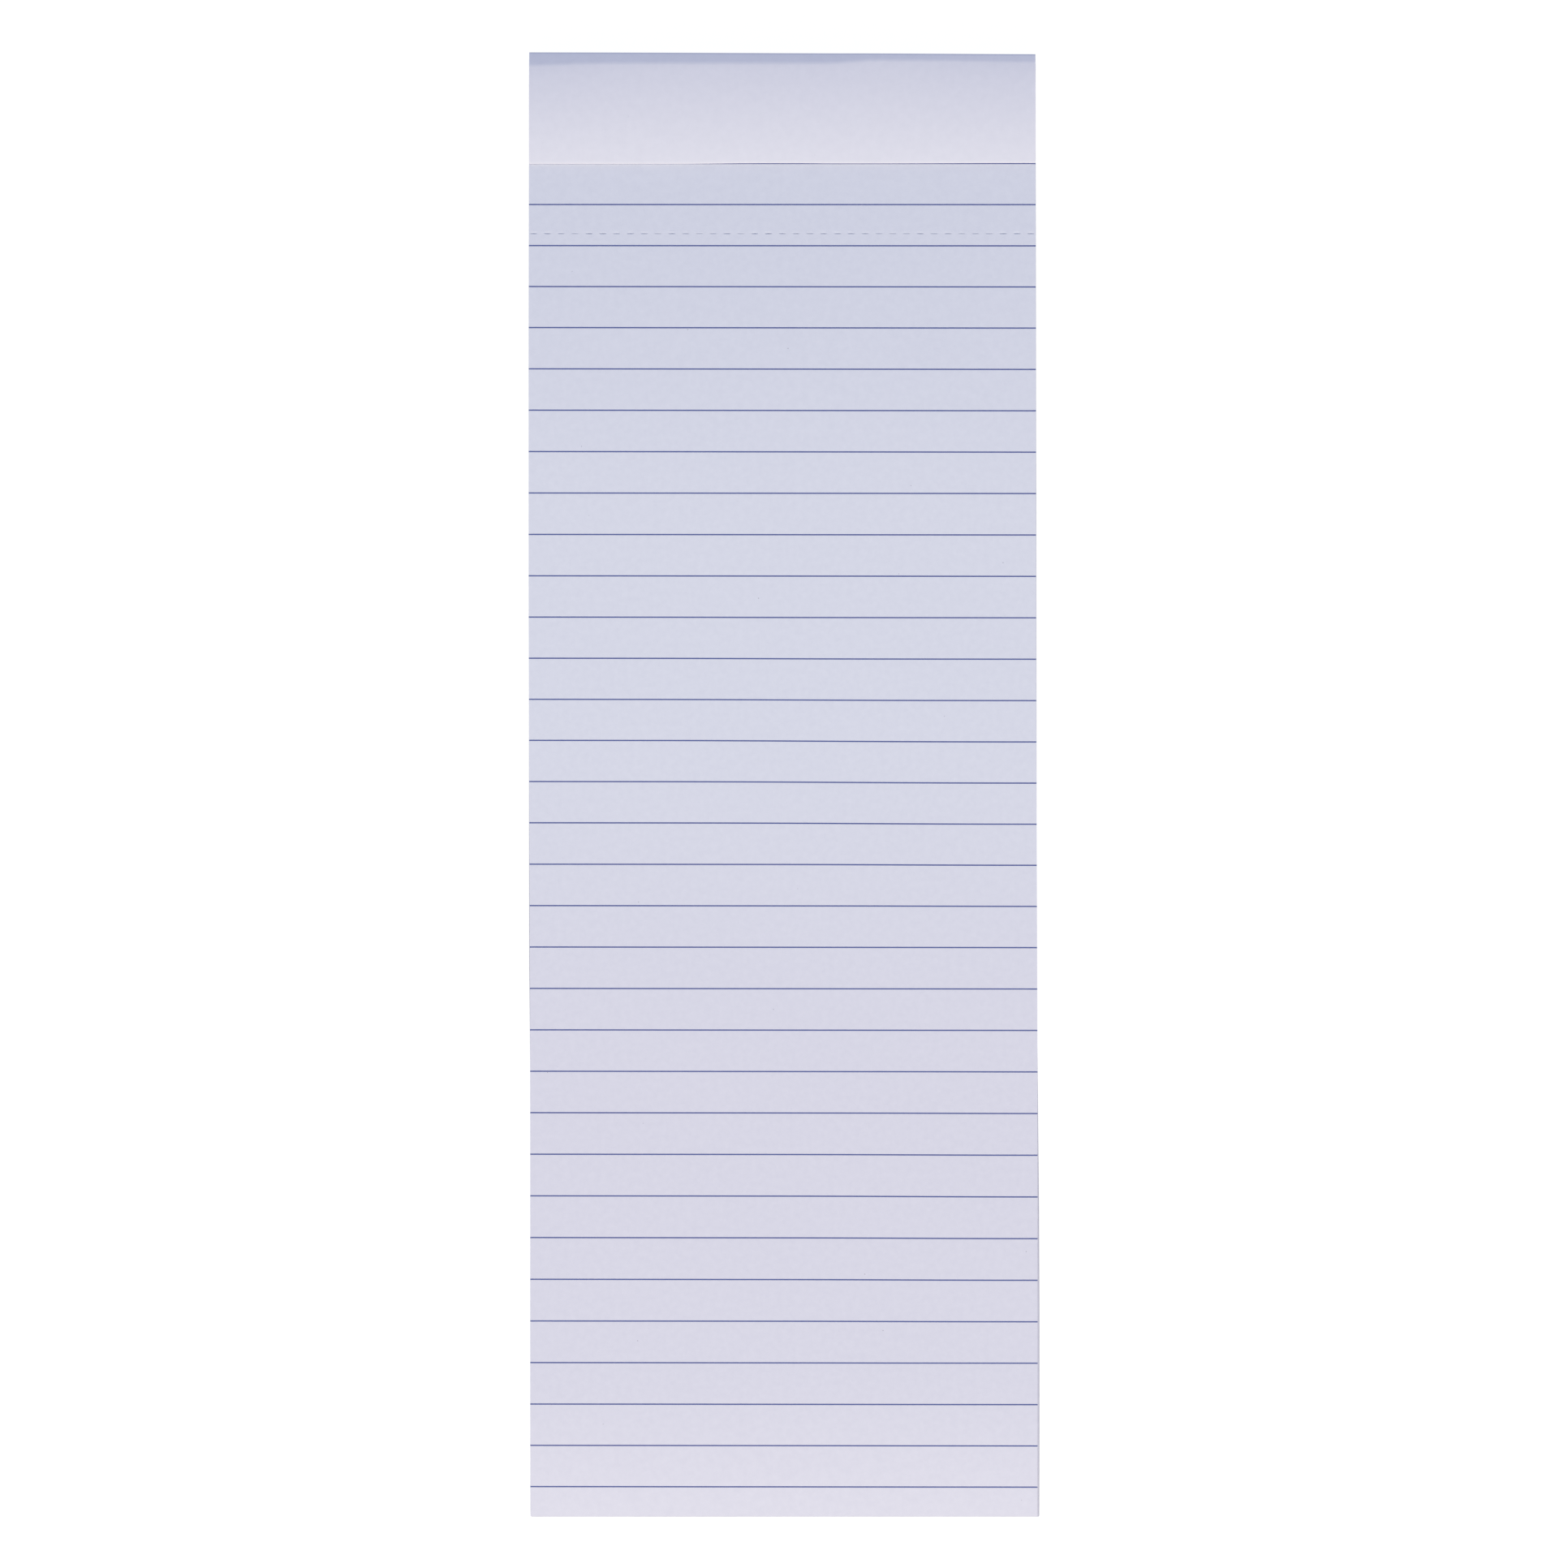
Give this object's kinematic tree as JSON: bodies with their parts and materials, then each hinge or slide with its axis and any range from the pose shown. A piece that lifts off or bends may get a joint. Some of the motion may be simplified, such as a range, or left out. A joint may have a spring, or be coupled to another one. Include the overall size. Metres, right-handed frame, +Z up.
{
  "type": "shopping list pad",
  "caption": "Tall narrow pad of ruled tear-off leaves on a greyboard back, wire-stitched at the head, lying open with its card cover folded over the head to the back.",
  "frame": {"origin": "centre of the whole pad's outline, on the surface that the pad lies on", "axes": "+X across the pad to the right of its writing face, +Y up the pad towards the bound head, +Z up out of the writing face"},
  "size_m": [0.098, 0.2832, 0.0099],
  "materials": {
    "paper": "matt uncoated writing paper, bluish white, ruled in fine blue-violet lines",
    "greyboard": "matt recycled grey board with visible fibres",
    "card": "smooth white card, slightly silky",
    "wire": "zinc-coated stitching wire"
  },
  "bodies": {
    "root": {"leaves": "paper", "backing_board": "greyboard", "cover": "card", "staples": "wire"}
  },
  "joints": []
}
